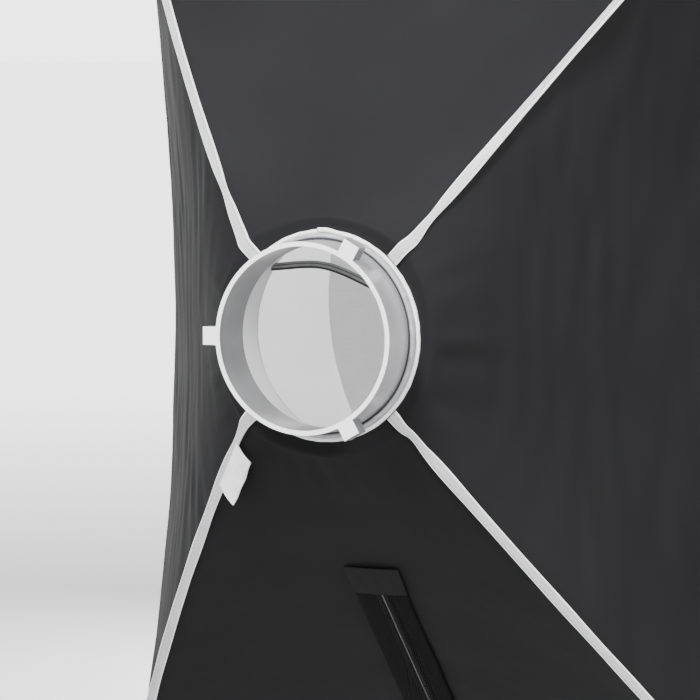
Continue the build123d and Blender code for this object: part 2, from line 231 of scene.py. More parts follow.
def cloth_sheet(name, grid, normals, uvs, thickness=CLOTH):
    """A sheet with an outer and an inner side; the inner side has the second material."""
    rows, columns = grid.shape[:2]
    count = rows * columns
    outer = grid.reshape(-1, 3)
    face_normals = normals.reshape(-1, 3)
    inner = outer - face_normals * thickness
    front = grid_faces(rows, columns)
    a, b, c = (outer[k] for k in front[len(front) // 2][:3])
    flip = np.dot(np.cross(b - a, c - b), face_normals[front[len(front) // 2][0]]) < 0
    back = [tuple(count + k for k in f[::-1]) for f in front]
    edge = [i * columns for i in range(rows)]
    edge += [(rows - 1) * columns + j for j in range(1, columns)]
    edge += [i * columns + columns - 1 for i in range(rows - 2, -1, -1)]
    edge += [j for j in range(columns - 2, 0, -1)]
    rim = [(k, count + k, count + n, n) for k, n in zip(edge, edge[1:] + edge[:1])]
    faces = front + back + rim
    if flip:
        faces = [f[::-1] for f in faces]
    slots = [0] * len(front) + [1] * len(back) + [0] * len(rim)
    flat_uvs = uvs.reshape(-1, 2)
    return new_object(
        name,
        np.concatenate([outer, inner]),
        faces,
        np.concatenate([flat_uvs, flat_uvs]),
        np.concatenate([face_normals, -face_normals]),
        slots,
    )


def tube_skin(name, rings, wrap=False, uvs=None):
    """A skin over closed cross-sections; open ends are capped."""
    rings = np.asarray(rings, float)
    rows, columns = rings.shape[:2]
    faces = grid_faces(rows, columns, wrap_rows=wrap, wrap_columns=True)
    if not wrap:
        faces.append(tuple(range(columns)))
        faces.append(tuple(range((rows - 1) * columns, rows * columns))[::-1])
    if uvs is None:
        lengths = np.linalg.norm(np.diff(rings.mean(axis=1), axis=0), axis=1)
        run = np.concatenate([[0], np.cumsum(lengths)])
        round_it = np.linalg.norm(np.diff(rings[rows // 2], axis=0), axis=1)
        across = np.concatenate([[0], np.cumsum(round_it)])
        uvs = np.stack(np.broadcast_arrays(across[None, :], run[:, None]), axis=-1)
    made = new_object(name, rings.reshape(-1, 3), faces, np.asarray(uvs).reshape(-1, 2))
    fix_outside(made)
    return made


def fix_outside(made):
    """Turns the faces of a closed mesh outwards."""
    work = bmesh.new()
    work.from_mesh(made.data)
    bmesh.ops.recalc_face_normals(work, faces=work.faces)
    work.to_mesh(made.data)
    work.free()


def round_section(half_width, half_height, count=16, squareness=3.0):
    """Points (across, up) of a flattened round cross-section."""
    angle = np.linspace(0, 2 * pi, count, endpoint=False)
    c, s = np.cos(angle), np.sin(angle)
    power = 2 / squareness
    across = half_width * np.sign(c) * np.abs(c) ** power
    up = half_height * np.sign(s) * np.abs(s) ** power
    return np.stack([across, up], -1)


def ribbon(name, path, up, half_size, twist=None, swell=None, count=16, edge_bead=0.0):
    """A flat tape that follows path, with its face towards up; its edges are thicker by edge_bead."""
    path = np.asarray(path, float)
    half_width, half_height = half_size
    ahead = unit(np.gradient(path, axis=0))
    up = np.broadcast_to(np.asarray(up, float), path.shape)
    up = unit(up - (up * ahead).sum(-1, keepdims=True) * ahead)
    side = np.cross(ahead, up)
    twist = np.zeros(len(path)) if twist is None else twist
    swell = np.ones(len(path)) if swell is None else swell
    turn_side = np.cos(twist)[:, None] * side + np.sin(twist)[:, None] * up
    turn_up = -np.sin(twist)[:, None] * side + np.cos(twist)[:, None] * up
    section = round_section(half_width, half_height, count)
    section[:, 1] *= 1 + edge_bead * (section[:, 0] / half_width) ** 4
    rings = (
        path[:, None, :]
        + turn_side[:, None, :] * (section[None, :, 0, None] * swell[:, None, None])
        + turn_up[:, None, :] * section[None, :, 1, None]
    )
    run = np.concatenate([[0], np.cumsum(np.linalg.norm(np.diff(path, axis=0), axis=1))])
    uvs = np.stack(np.broadcast_arrays(section[None, :, 0], run[:, None]), axis=-1)
    return tube_skin(name, rings, uvs=uvs)


def smooth_path(points, count):
    """A smooth curve through a few points, evenly spaced."""
    points = np.asarray(points, float)
    knots = np.concatenate([[0], np.cumsum(np.linalg.norm(np.diff(points, axis=0), axis=1))])
    slopes = np.gradient(points, knots, axis=0)
    places = np.linspace(0, knots[-1], count)
    index = np.clip(np.searchsorted(knots, places) - 1, 0, len(knots) - 2)
    span = (knots[index + 1] - knots[index])[:, None]
    t = (places[:, None] - knots[index][:, None]) / span
    return (
        (2 * t**3 - 3 * t**2 + 1) * points[index]
        + (t**3 - 2 * t**2 + t) * span * slopes[index]
        + (3 * t**2 - 2 * t**3) * points[index + 1]
        + (t**3 - t**2) * span * slopes[index + 1]
    )


def mirrored(points, signs):
    """Points of the upper right quarter, moved to the quarter with those signs of X and Z."""
    return np.asarray(points) * np.array([signs[0], 1, signs[1]])


# ------------------------------------------------------------------ materials

ISOTROPIC = (1, 1, 1)
ROUND_THE_AXIS = (6, 1400, 6)
STITCH_GROOVE = -0.0002


def add_node(tree, kind, inputs=None, **settings):
    made = tree.nodes.new(kind)
    for key, value in settings.items():
        setattr(made, key, value)
    for socket, value in (inputs or {}).items():
        if isinstance(value, bpy.types.NodeSocket):
            tree.links.new(value, made.inputs[socket])
        else:
            made.inputs[socket].default_value = value
    return made


def math_node(tree, operation, first, second=0.0):
    return add_node(tree, "ShaderNodeMath", {0: first, 1: second}, operation=operation).outputs[0]


def noise(tree, coords, scale, stretch, detail=3.0):
    place = add_node(tree, "ShaderNodeMapping", {"Vector": coords, "Scale": stretch})
    inputs = {"Vector": place.outputs[0], "Scale": scale, "Detail": detail, "Roughness": 0.55}
    return add_node(tree, "ShaderNodeTexNoise", inputs).outputs["Fac"]


def wave(tree, value, pitch):
    """A sine wave of that pitch, between 0 and 1."""
    turns = math_node(tree, "MULTIPLY", value, 2 * pi / pitch)
    sine = math_node(tree, "SINE", turns)
    return math_node(tree, "MULTIPLY_ADD", sine, 0.5)


def make_material(name, light, dark, rough, grain, bumps, coords="Object", pattern=None, **flat):
    """A procedural material. grain is (scale, stretch) of the colour noise; bumps lists
    (scale, stretch, depth) of noise bumps; pattern(tree, coords) gives (mask, colour, depth)."""
    made = bpy.data.materials.new(name)
    made.use_nodes = True
    tree = made.node_tree
    shader = next(n for n in tree.nodes if n.type == "BSDF_PRINCIPLED")
    for socket, value in flat.items():
        shader.inputs[socket.replace("_", " ")].default_value = value
    place = add_node(tree, "ShaderNodeTexCoord").outputs["UV" if coords == "UV" else "Object"]
    cloud = noise(tree, place, grain[0], grain[1])
    ramp = add_node(tree, "ShaderNodeValToRGB", {"Fac": cloud})
    ramp.color_ramp.elements[0].position = 0.3
    ramp.color_ramp.elements[1].position = 0.7
    ramp.color_ramp.elements[0].color = (*dark, 1)
    ramp.color_ramp.elements[1].color = (*light, 1)
    colour = ramp.outputs["Color"]
    spread = add_node(
        tree, "ShaderNodeMapRange", {"Value": cloud, "To Min": rough[0], "To Max": rough[1]}
    )
    tree.links.new(spread.outputs[0], shader.inputs["Roughness"])
    last = None
    for scale, stretch, depth in bumps:
        height = noise(tree, place, scale, stretch, detail=2.0)
        inputs = {"Height": height, "Distance": depth, "Strength": 1.0}
        if last is not None:
            inputs["Normal"] = last
        last = add_node(tree, "ShaderNodeBump", inputs).outputs[0]
    if pattern is not None:
        for mask, paint, depth in pattern(tree, place):
            if paint is not None:
                mix = add_node(
                    tree, "ShaderNodeMix", {"Factor": mask}, data_type="RGBA", blend_type="MIX"
                )
                tree.links.new(colour, mix.inputs[6])
                mix.inputs[7].default_value = (*paint, 1)
                colour = mix.outputs[2]
            if depth:
                inputs = {"Height": mask, "Distance": depth, "Strength": 1.0}
                if last is not None:
                    inputs["Normal"] = last
                last = add_node(tree, "ShaderNodeBump", inputs).outputs[0]
    tree.links.new(colour, shader.inputs["Base Color"])
    if last is not None:
        tree.links.new(last, shader.inputs["Normal"])
    return made


def weave(pitch, depth, paint=None):
    """Over-and-under threads of that pitch."""

    def pattern(tree, coords):
        parts = add_node(tree, "ShaderNodeSeparateXYZ", {0: coords}).outputs
        warp, weft = wave(tree, parts[0], pitch), wave(tree, parts[1], pitch)
        return [(math_node(tree, "MULTIPLY", warp, weft), paint, depth)]

    return pattern


def dashes(tree, along, across, place, stitch, gap, half):
    """Mask of a row of stitches at that place across the tape."""
    turn = math_node(tree, "FRACT", math_node(tree, "DIVIDE", along, stitch + gap))
    on = math_node(tree, "LESS_THAN", turn, stitch / (stitch + gap))
    off_line = math_node(tree, "ABSOLUTE", math_node(tree, "SUBTRACT", across, place))
    near = math_node(tree, "LESS_THAN", off_line, half)
    return math_node(tree, "MULTIPLY", on, near)


def stitched_tape(rib, rows, thread, border=None, edge=None):
    """Fine ribs across a tape, rows of stitches along it, and a painted highlight on the edges beyond
    border.
    """

    def pattern(tree, coords):
        parts = add_node(tree, "ShaderNodeSeparateXYZ", {0: coords}).outputs
        made = [(wave(tree, parts[1], rib), None, 0.00006)]
        # Painted highlight on the tape's edges.
        if border:
            off_middle = math_node(tree, "ABSOLUTE", parts[0])
            made.append((math_node(tree, "GREATER_THAN", off_middle, border), edge, 0))
        for place in rows:
            row = dashes(tree, parts[1], parts[0], place, 0.0022, 0.0009, 0.0003)
            made.append((row, thread, STITCH_GROOVE))
        return made

    return pattern


def painted_shade_edge(place, width, paint):
    """Painted shade along one edge of a tape, and a thin painted shadow line, also grooved, before
    it.
    """

    def pattern(tree, coords):
        parts = add_node(tree, "ShaderNodeSeparateXYZ", {0: coords}).outputs
        off_line = math_node(tree, "ABSOLUTE", math_node(tree, "SUBTRACT", parts[0], place - width))
        line = math_node(tree, "LESS_THAN", off_line, width / 8)
        return [(math_node(tree, "GREATER_THAN", parts[0], place), paint, 0), (line, paint, -0.0001)]

    return pattern


def herringbone(pitch, width, thread, rows):
    """Chevron ribs of a woven tape, with rows of stitches."""

    def pattern(tree, coords):
        parts = add_node(tree, "ShaderNodeSeparateXYZ", {0: coords}).outputs
        turn = math_node(tree, "FRACT", math_node(tree, "DIVIDE", parts[0], width))
        zigzag = math_node(tree, "ABSOLUTE", math_node(tree, "SUBTRACT", turn, 0.5))
        shift = math_node(tree, "MULTIPLY_ADD", zigzag, 1.6 * width)
        tree.links.new(parts[1], shift.node.inputs[2])
        made = [(math_node(tree, "POWER", wave(tree, shift, pitch), 3.0), thread, 0.00025)]
        for place in rows:
            row = dashes(tree, parts[1], parts[0], place, 0.0025, 0.0008, 0.0003)
            made.append((row, thread, STITCH_GROOVE))
        return made

    return pattern


def painted_ring_light(back, outside):
    """Painted light on the ring's metal: a near-white painted highlight on the faces that look back
    along the axis, and a lighter painted tone on the outer wall than on the inner wall.
    """

    def pattern(tree, coords):
        facing = add_node(tree, "ShaderNodeTexCoord").outputs["Normal"]
        parts = add_node(tree, "ShaderNodeSeparateXYZ", {0: facing}).outputs
        outwards = add_node(
            tree, "ShaderNodeVectorMath", {0: facing, 1: coords}, operation="DOT_PRODUCT"
        ).outputs["Value"]
        return [
            (math_node(tree, "GREATER_THAN", outwards, 0.02), outside, 0),
            (math_node(tree, "LESS_THAN", parts[1], -0.8), back, 0),
        ]

    return pattern


M = {
    "black_cloth": make_material(
        "black_cloth",
        (0.0125, 0.0125, 0.0133),
        (0.0090, 0.0090, 0.0096),
        (0.58, 0.70),
        (9, ISOTROPIC),
        [(26, (0.35, 1, 1), 0.0010), (420, ISOTROPIC, 0.00008)],
        coords="UV",
        pattern=weave(0.00056, 0.00002, (0.0135, 0.0135, 0.0143)),
        Specular_IOR_Level=0.05,
        Sheen_Weight=0.006,
    ),
    "silver_cloth": make_material(
        "silver_cloth",
        (0.88, 0.88, 0.89),
        (0.80, 0.80, 0.81),
        (0.35, 0.50),
        (14, ISOTROPIC),
        [(60, ISOTROPIC, 0.0010), (700, ISOTROPIC, 0.0002)],
        coords="UV",
        pattern=weave(0.0009, 0.0001),
        Metallic=0.35,
    ),
    "grey_tape": make_material(
        "grey_tape",
        (0.56, 0.56, 0.57),
        (0.42, 0.42, 0.44),
        (0.34, 0.50),
        (60, (1, 0.4, 1)),
        [(160, (1, 0.5, 1), 0.0004)],
        coords="UV",
        # Lighter edges beyond border: painted highlight along both edges of the binding tapes.
        pattern=stitched_tape(
            0.0009, (0.0014,), (0.34, 0.34, 0.35), border=0.0021, edge=(0.84, 0.84, 0.84)
        ),
        Sheen_Weight=0.15,
    ),
    "facing": make_material(
        "facing",
        (0.40, 0.40, 0.415),
        (0.27, 0.27, 0.285),
        (0.45, 0.6),
        (180, ISOTROPIC),
        [(260, ISOTROPIC, 0.0005)],
        coords="UV",
        pattern=weave(0.0008, 0.0001),
    ),
    "grey_elastic": make_material(
        "grey_elastic",
        (0.36, 0.37, 0.36),
        (0.26, 0.27, 0.26),
        (0.45, 0.6),
        (90, ISOTROPIC),
        [(260, ISOTROPIC, 0.0003)],
        coords="UV",
        # Painted shade along one edge of the strap, with a thin painted shadow line before it.
        pattern=painted_shade_edge(0.0011, 0.0016, (0.035, 0.035, 0.035)),
    ),
    "white_satin": make_material(
        "white_satin",
        (0.86, 0.86, 0.86),
        (0.76, 0.76, 0.77),
        (0.28, 0.42),
        (120, ISOTROPIC),
        [(200, ISOTROPIC, 0.0003)],
        coords="UV",
        pattern=stitched_tape(0.0005, (), (0.6, 0.6, 0.6)),
        Sheen_Weight=0.3,
    ),
    "white_cloth": make_material(
        "white_cloth",
        (0.86, 0.86, 0.86),
        (0.80, 0.80, 0.80),
        (0.6, 0.75),
        (12, ISOTROPIC),
        [(30, ISOTROPIC, 0.0008)],
        coords="UV",
        pattern=weave(0.0007, 0.00005, (0.9, 0.9, 0.9)),
        Transmission_Weight=0.55,
        IOR=1.01,
        Sheen_Weight=0.2,
    ),
    "white_tape": make_material(
        "white_tape",
        (0.82, 0.82, 0.82),
        (0.72, 0.72, 0.72),
        (0.5, 0.65),
        (40, ISOTROPIC),
        [(90, ISOTROPIC, 0.0004)],
        coords="UV",
        pattern=stitched_tape(0.0012, (-0.009, 0.009), (0.6, 0.6, 0.6)),
    ),
    "black_webbing": make_material(
        "black_webbing",
        (0.022, 0.022, 0.023),
        (0.012, 0.012, 0.013),
        (0.55, 0.7),
        (120, ISOTROPIC),
        [(300, ISOTROPIC, 0.0003)],
        coords="UV",
        pattern=stitched_tape(0.0011, (0.003, 0.018), (0.10, 0.10, 0.10)),
    ),
    "zip_tape": make_material(
        "zip_tape",
        (0.0018, 0.0018, 0.0019),
        (0.0012, 0.0012, 0.0013),
        (0.60, 0.75),
        (150, ISOTROPIC),
        [(500, ISOTROPIC, 0.00005)],
        coords="UV",
        pattern=herringbone(0.0017, 0.0048, (0.016, 0.016, 0.0163), (0.0045,)),
        Specular_IOR_Level=0.04,
    ),
    # Lighter colour of the cord on the zip's fold: painted highlight.
    "painted_fold_highlight": make_material(
        "painted_fold_highlight",
        (0.10, 0.10, 0.104),
        (0.07, 0.07, 0.072),
        (0.35, 0.5),
        (200, ISOTROPIC),
        [(600, ISOTROPIC, 0.0001)],
        coords="UV",
        pattern=weave(0.0009, 0.0001),
    ),
    "zip_coil": make_material(
        "zip_coil",
        (0.0040, 0.0040, 0.0042),
        (0.0015, 0.0015, 0.0016),
        (0.45, 0.60),
        (900, (0.05, 1, 1)),
        [(1100, (0.05, 1, 1), 0.0006)],
        Specular_IOR_Level=0.2,
    ),
    "zip_metal": make_material(
        "zip_metal",
        (0.060, 0.060, 0.064),
        (0.030, 0.030, 0.032),
        (0.18, 0.40),
        (160, ISOTROPIC),
        [(400, ISOTROPIC, 0.00008)],
        Coat_Weight=0.4,
    ),
    "satin_aluminium": make_material(
        "satin_aluminium",
        (0.21, 0.21, 0.218),
        (0.17, 0.17, 0.177),
        (0.26, 0.38),
        (1.0, ROUND_THE_AXIS),
        [(1.0, ROUND_THE_AXIS, 0.00003), (900, ISOTROPIC, 0.00002)],
        # Near-white painted highlight on the rear faces, and a lighter painted tone on the outer
        # wall.
        pattern=painted_ring_light((0.97, 0.97, 0.98), (0.52, 0.52, 0.54)),
        Metallic=0.55,
    ),
    "hub_plastic": make_material(
        "hub_plastic",
        (0.030, 0.030, 0.032),
        (0.018, 0.018, 0.019),
        (0.40, 0.55),
        (60, ISOTROPIC),
        [(900, ISOTROPIC, 0.00012)],
    ),
    "steel": make_material(
        "steel",
        (0.62, 0.62, 0.63),
        (0.45, 0.45, 0.46),
        (0.22, 0.38),
        (300, ISOTROPIC),
        [(800, ISOTROPIC, 0.00004)],
        Metallic=1.0,
    ),
    "spring_steel": make_material(
        "spring_steel",
        (0.50, 0.50, 0.52),
        (0.34, 0.34, 0.36),
        (0.25, 0.4),
        (40, (1, 12, 1)),
        [(500, ISOTROPIC, 0.00004)],
        Metallic=1.0,
    ),
    "tip_plastic": make_material(
        "tip_plastic",
        (0.05, 0.05, 0.052),
        (0.025, 0.025, 0.026),
        (0.35, 0.5),
        (80, ISOTROPIC),
        [(900, ISOTROPIC, 0.00012)],
    ),
    "stage": make_material(
        "stage",
        (0.78, 0.78, 0.78),
        (0.76, 0.76, 0.76),
        (0.75, 0.85),
        (0.6, ISOTROPIC),
        [(30, ISOTROPIC, 0.0004)],
        Emission_Color=(1, 1, 1, 1),
    ),
}


def dress(made, slot, body=None, *nodes, lining=None, finish=None):
    """Gives a piece its outer and inner materials, hides the CAD nodes it stands for, and hangs it on
    its body.
    """
    made.data.materials.append(M[finish or slot])
    made.data.materials.append(M[lining or slot])
    if nodes:
        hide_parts(*nodes)
    if body:
        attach(made, body)
    return made


# ------------------------------------------------------------------ shell panels

# (radius, y) of the cloth where it rounds the collar
PROFILE = np.array(
    [
        (COLLAR_RADIUS, -0.0009),
        (0.0562, -0.0006),
        (0.0585, -0.0009),
        (0.0600, -0.0010),
        (0.0612, -0.0006),
        (0.0623, 0.0003),
        (RIDGE_RADIUS, RIDGE_DEPTH),
    ]
)


def panel_surface(cut, along_axis, out_axis, seed, slit):
    """Points, normals and UVs of a whole panel, with the rows of each band."""
    share = 1 - (1 - np.linspace(0, 1, COLUMNS)) ** 1.35
    share = share / share[-1]
    signed = np.concatenate([-share[::-1], share])
    depths, bands = [RIDGE_DEPTH], [0]
    for low, high in zip(BAND_DEPTHS, BAND_DEPTHS[1:]):
        steps = int(np.ceil((high - low) / ROW_PITCH))
        depths += list(np.linspace(low, high, steps + 1)[1:])
        bands.append(len(depths) - 1)
    depths = np.array(depths)
    section = np.minimum(depths, SECTION_FRONT)
    seam_x, seam_z = seam_at_depth(section)
    half, seam_out = (seam_x, seam_z) if cut == "flat" else (seam_z, seam_x)
    reach = centre_reach(cut, section)
    opening = SLIT_HALF * smoothstep(depths, SLIT_DEPTH, SLIT_DEPTH + 0.006) if slit else 0 * depths
    along = np.sign(signed) * (opening[:, None] + (half - opening)[:, None] * np.abs(signed))
    centre = COLUMNS
    along[:, centre - 1], along[:, centre] = -opening, opening
    out = reach[:, None] + arc_rise(half[:, None], (seam_out - reach)[:, None], along)
    first = np.stack([along[0], out[0]], -1)
    first_radius = np.linalg.norm(first, axis=-1)
    collar_radii = np.linspace(COLLAR_RADIUS, RIDGE_RADIUS, COLLAR_ROWS + 1)[:-1]
    spread = smoothstep(collar_radii, COLLAR_RADIUS, RIDGE_RADIUS)[:, None]
    radii = collar_radii[:, None] + (first_radius - RIDGE_RADIUS)[None, :] * spread
    ring = first[None] / first_radius[None, :, None] * radii[..., None]
    along = np.concatenate([ring[..., 0], along])
    out = np.concatenate([ring[..., 1], out])
    collar_y = np.interp(collar_radii, PROFILE[:, 0], PROFILE[:, 1])
    y = np.concatenate([collar_y, depths])[:, None] + 0 * along
    bands = [0] + [b + COLLAR_ROWS for b in bands[1:]]
    place = np.array(along_axis) * along[..., None] + np.array(out_axis) * out[..., None]
    place = place + np.array([0, 1, 0]) * y[..., None]
    towards = np.array(out_axis, float) - np.array([0, 1, 0])
    normals = grid_normals(place, towards)
    run = np.linalg.norm(np.diff(place[:, centre], axis=0), axis=-1)
    run = np.concatenate([[0], np.cumsum(run)])[:, None] + 0 * along
    edge = np.concatenate([np.full(COLLAR_ROWS, half[0]), half])[:, None]
    from_seam = np.maximum(edge - np.abs(along), 0)
    radius = np.hypot(along, out)
    angle = np.arctan2(along, out)
    calm = 1 - np.exp(-((from_seam / 0.004) ** 2))
    body = smoothstep(y, 0.0, 0.03)
    lift = folds(run, along, 0.060, 0.5, 0.0011, seed) * body
    if cut == "side":
        lift += folds(run, along, 0.015, 0.12, 0.0009, seed + 1, 8) * body
        lift += folds(along, run, 0.110, 0.3, 0.0010, seed + 4) * body
        level = np.clip(np.abs(along) / edge, 0, 1)
        lift += SIDE_SLACK * np.exp(-(((y - SLACK_DEPTH) / 0.085) ** 2)) * (1 - level**2)
        spread = (0.03, float(run.max()) - 0.03, float(along.min()), float(along.max()))
        lift += creases(run, along, 60, spread, 0.0011, 0.0034, seed + 5) * body
    else:
        lift += folds(run, along, 0.024, 0.8, 0.00022, seed + 1) * body
    spokes = folds(angle, radius, 0.21, 0.6, 0.0011, seed + 2, 8)
    lift += spokes * np.exp(-((radius - RIDGE_RADIUS) / 0.022) ** 2) * smoothstep(y, -0.001, 0.006)
    lift += folds(run, along, 0.010, 0.5, 0.0007, seed + 3) * np.exp(-from_seam / 0.010) * body
    place = place + normals * (lift * calm)[..., None]
    normals = grid_normals(place, towards)
    middle = unit(normals[:, centre - 1] + normals[:, centre])
    normals[:, centre - 1] = normals[:, centre] = middle
    uvs = np.stack([along, run], -1)
    return place, normals, uvs, bands


shells = {}
for index, (panel, (cut, along_axis, out_axis, *halves)) in enumerate(PANELS.items()):
    place, normals, uvs, bands = panel_surface(
        cut, along_axis, out_axis, 11 + 7 * index, panel == "bottom"
    )
    shells[panel] = (place, normals)
    for (side, corner), columns, seam, centre in (
        (halves[0], slice(COLUMNS, None), -1, COLUMNS),
        (halves[1], slice(0, COLUMNS), 0, COLUMNS - 1),
    ):
        node = f"panel_{panel}_{side}"
        for number, (low, high) in enumerate(zip(bands, bands[1:])):
            rows = slice(low, high + 1)
            grid = place[rows, columns]
            piece = cloth_sheet(f"{node}_{number}", grid, normals[rows, columns], uvs[rows, columns])
            dress(piece, "black_cloth", None, node, lining="silver_cloth")
            if number == 0:
                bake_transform(piece)
                continue
            if number < len(bands) - 2:
                ahead = unit(place[high, seam] - place[low, seam])
            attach(piece, "rib_" + corner)
            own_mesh(piece)


# ------------------------------------------------------------------ seam bindings, tag and pockets

SEAM_SIDE = np.array([0.29487, -0.83290, 0.46832])  # square to the seam, away from the box
TAPE_POINTS = 420
POCKET_RADIUS = 0.0036
POCKET_HALF = 0.0148
POCKET_ROWS = 30
POCKET_COLUMNS = 20
LEAN = {"upper_right": 0.62, "upper_left": 0.05, "lower_right": 0.0, "lower_left": 0.30}
PINCH = {"upper_right": 0.030, "upper_left": 0.046, "lower_right": 0.018, "lower_left": 0.024}
seam_place, seam_up = (
    (shells["top"][k][:, -1] + shells["right"][k][:, -1]) / 2 for k in (0, 1)
)
seam_up = unit(seam_up)
on_cloth = seam_place[:, 1] < LIP_FRONT - 0.003
lip_step = np.array([0.0006, 0, 0.0006]) * smoothstep(seam_place[:, 1:2], 0.300, 0.325)
seam_line = (seam_place + seam_up * 0.0007 - lip_step)[on_cloth][1::2]
seam_up = seam_up[on_cloth][1::2]
tape_line = smooth_path(seam_line, TAPE_POINTS)
knots = np.concatenate([[0], np.cumsum(np.linalg.norm(np.diff(seam_line, axis=0), axis=1))])
tape_run = np.linspace(0, knots[-1], TAPE_POINTS)
tape_up = np.stack([np.interp(tape_run, knots, seam_up[:, k]) for k in range(3)], -1)

for number, (corner, signs) in enumerate(CORNERS.items()):
    near = np.exp(-tape_run / 0.045)
    wobble = folds(tape_run, 0 * tape_run, 0.110, 0, 1.0, 40 + number)
    kink = folds(tape_run, 0 * tape_run, 0.030, 0, 1.6, 50 + number)
    swell = 1 + 0.10 * folds(tape_run, 0 * tape_run, 0.06, 0, 1.6, 60 + number) + 0.34 * near
    swell = swell - 0.42 * np.exp(-(((tape_run - PINCH[corner]) / 0.011) ** 2))
    tape = ribbon(
        "seam_binding_" + corner + "_tape",
        mirrored(tape_line, signs),
        mirrored(tape_up, signs),
        (0.0027, 0.0006),
        0.18 * wobble + 0.35 * near * kink + LEAN[corner] * smoothstep(tape_run, 0.03, 0.14),
        swell,
        edge_bead=0.7,
    )
    dress(tape, "grey_tape", None, "seam_binding_" + corner)
    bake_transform(tape)

    pocket_low, pocket_high = (np.array(v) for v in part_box("corner_pocket_" + corner))
    ahead = unit(mirrored(seam_point(SEAM_END[2]) - seam_point(0.42), signs))
    steps = np.linspace(-1, 1, POCKET_ROWS)
    radii = np.sqrt(np.clip(1 - np.clip((steps - 0.72) / 0.30, 0, 1) ** 2, 0.02, 1))
    radii = POCKET_RADIUS * radii * (1 + 0.05 * np.sin(9 * steps + number))
    axis_line = (pocket_low + pocket_high) / 2 + ahead * (steps * POCKET_HALF)[:, None]
    pocket = ribbon(
        "corner_pocket_" + corner + "_cloth",
        axis_line,
        mirrored(SEAM_SIDE, signs),
        (1.0, 1.0),
        count=POCKET_COLUMNS,
    )
    rings = np.array([v.co for v in pocket.data.vertices]).reshape(POCKET_ROWS, POCKET_COLUMNS, 3)
    rings = axis_line[:, None] + unit(rings - axis_line[:, None]) * radii[:, None, None]
    pocket.data.vertices.foreach_set("co", rings.astype(np.float32).ravel())
    dress(pocket, "black_webbing", "rib_" + corner, "corner_pocket_" + corner)

TAG_SIGNS = CORNERS["lower_left"]
TAG_WIDTH = 0.0315
TAG_LENGTH = 0.0153
tag_root = mirrored(seam_point(0.068) + SEAM_SIDE * 0.0012, TAG_SIGNS)
tag_along = unit(mirrored(seam_point(0.067) - seam_point(0.066), TAG_SIGNS))
tag_hang = np.array([0.80, -0.25, -0.74])
tag_hang = unit(tag_hang - tag_hang.dot(tag_along) * tag_along)
tag_face = np.cross(tag_along, tag_hang)
down = np.linspace(0, 1, 34)[:, None]
across = np.linspace(-0.5, 0.5, 22)[None, :]
droop = 0.0011 * np.sin(2.6 * down) + 0.0012 * across**2 * down * 3
droop = droop + 0.0003 * np.sin(14 * across) * down
tag_grid = (
    tag_root
    + tag_hang * (TAG_LENGTH * down)[..., None]
    + tag_along * (TAG_WIDTH * across)[..., None]
    + tag_face * droop[..., None]
)
tag_uvs = np.stack(np.broadcast_arrays(TAG_WIDTH * across, TAG_LENGTH * down), -1)
tag = cloth_sheet("side_tag_satin", tag_grid, grid_normals(tag_grid, tag_face), tag_uvs, 0.0006)
dress(tag, "white_satin", "rib_lower_left", "side_tag")


# ------------------------------------------------------------------ collar round the throat

THROAT_RADIUS = 0.053


def turned(name, angles, outline, wrap=True):
    """A ring whose cross-section at each angle is outline(angle), a list of (radius, y)."""
    rings = []
    for angle in angles:
        section = np.asarray(outline(angle), float)
        rings.append(
            np.stack([section[:, 0] * cos(angle), section[:, 1], section[:, 0] * sin(angle)], -1)
        )
    made = tube_skin(name, rings, wrap=wrap)
    section = np.asarray(outline(angles[0]), float)
    steps = np.linalg.norm(np.diff(section, axis=0), axis=-1)
    across = np.concatenate([[0], np.cumsum(steps)])
    along = THROAT_RADIUS * np.asarray(angles)
    uvs = np.stack(np.broadcast_arrays(across[None, :], along[:, None]), -1).reshape(-1, 2)
    loops = np.empty(len(made.data.loops), np.int32)
    made.data.loops.foreach_get("vertex_index", loops)
    made.data.uv_layers[0].data.foreach_set("uv", uvs[loops].astype(np.float32).ravel())
    return made


full_turn = np.linspace(0, 2 * pi, 420, endpoint=False)


def soft_wave(angle, seed, waves=9, low=14, high=60):
    """Small creases round the throat, that close on themselves."""
    rng = np.random.default_rng(seed)
    total = 0
    for _ in range(waves):
        turns = int(rng.integers(low, high))
        total += sin(turns * angle + rng.uniform(0, 2 * pi))
    return total / waves


OVERLAP = radians(84)
binding_angles = np.linspace(OVERLAP, OVERLAP + 2 * pi + radians(9), 460)


def binding_outline(angle):
    lap = smoothstep(angle, OVERLAP + 2 * pi - radians(3), OVERLAP + 2 * pi + radians(5))
    crease = soft_wave(angle, 3)
    section = round_section(0.00125 * (1 + 0.10 * crease), 0.0012 * (1 - 0.08 * crease), 14, 2.4)
    radius = THROAT_RADIUS + 0.0009 * lap + 0.00012 * crease
    return section + np.array([radius, -0.0009 - 0.0010 * lap])


binding = turned("throat_binding_roll", binding_angles, binding_outline, wrap=False)
dress(binding, "grey_tape", "hub", "throat_binding")


def facing_outline(angle):
    crease = soft_wave(angle, 5, 8, 8, 30)
    tuck = np.exp(-(((angle - radians(307)) / 0.035) ** 2))
    outer = np.array(
        [
            (0.04985, -0.0022),
            (0.04995, -0.0036),
            (0.05030, -0.0047),
            (0.05100, -0.0051),
            (0.05180, -0.0047),
            (0.05225, -0.0034),
            (0.05235, -0.0020),
        ]
    )
    outer = outer + np.array([0.00008 * crease, -0.00018 * crease - 0.0005 * tuck])
    middle = np.array([0.0511, -0.0022])
    inner = middle + (outer[::-1] - middle) * np.array([0.80, 0.86])
    return np.concatenate([outer, inner])


facing = turned("throat_facing_band", full_turn, facing_outline)
dress(facing, "grey_tape", "hub", "throat_facing", lining="facing", finish="facing")

cover_radii = np.linspace(0.0545, 0.0617, 12)
cover_y = np.interp(cover_radii, PROFILE[:, 0], PROFILE[:, 1]) + 0.0010


